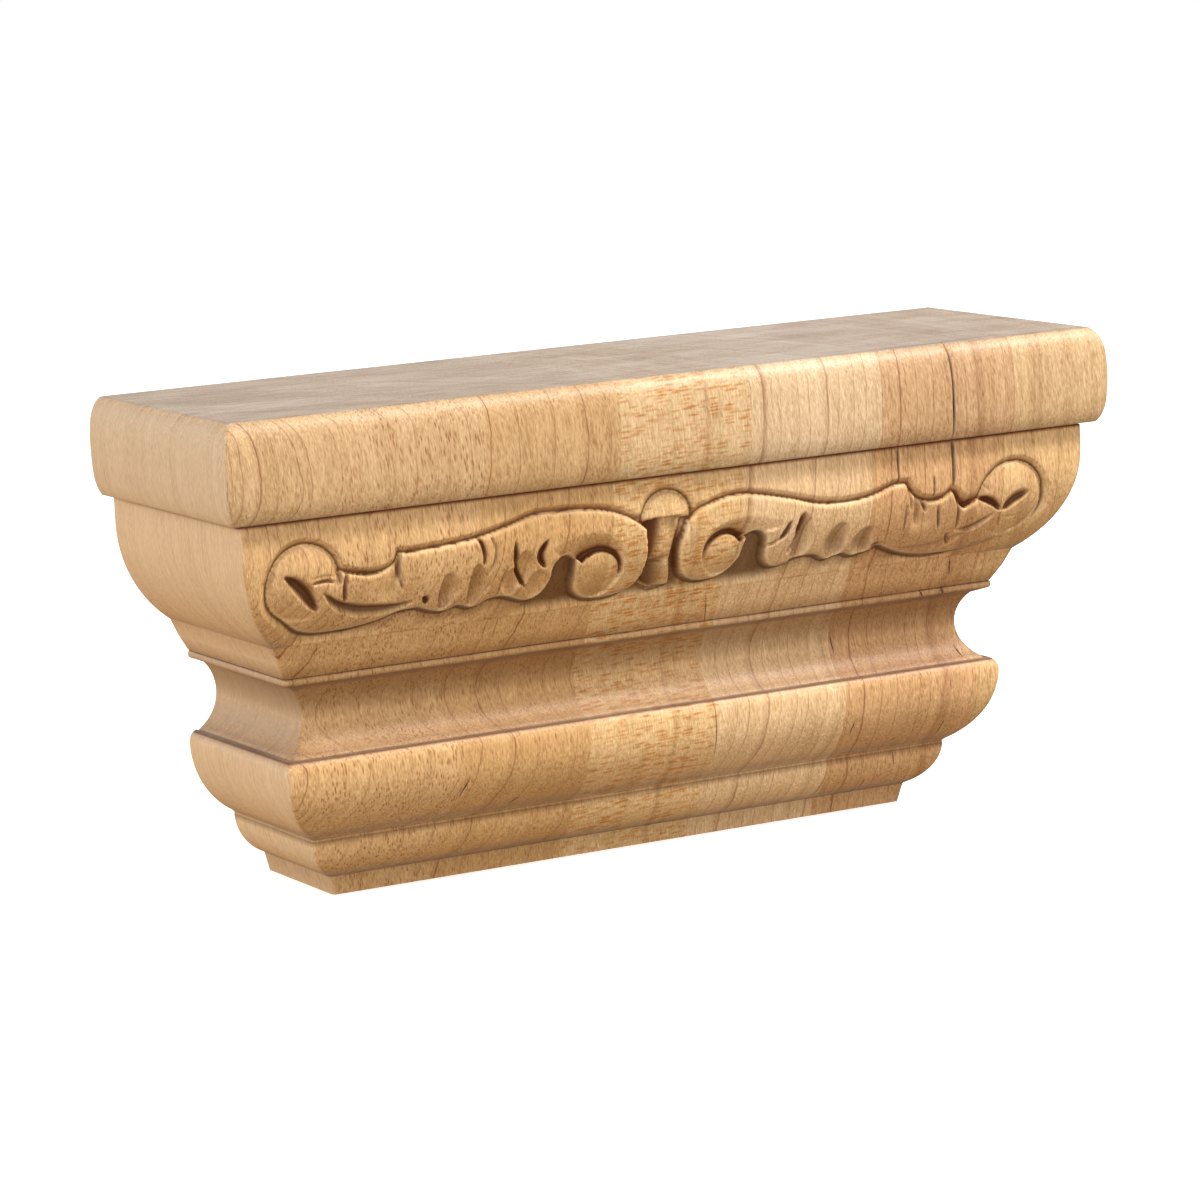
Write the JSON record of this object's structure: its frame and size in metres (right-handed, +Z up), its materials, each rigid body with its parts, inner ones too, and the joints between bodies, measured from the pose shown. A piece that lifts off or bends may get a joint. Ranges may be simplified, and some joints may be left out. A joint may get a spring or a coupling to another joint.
{
  "type": "carved wooden capital block",
  "caption": "Moulded wooden capital block with a flat back, a thick slab top and mirrored scrolls carved into the front ovolo.",
  "frame": {"origin": "middle of the width and the depth, level with the underside", "axes": "+X along the width to the right seen from the front, +Y towards the flat back, +Z up"},
  "size_m": [0.254, 0.0794, 0.127],
  "materials": {
    "beech": "glued beech staves with a vertical grain, sanded and left satin, darker in the carved recesses"
  },
  "bodies": {
    "root": {"capital_block": "beech"}
  },
  "joints": []
}
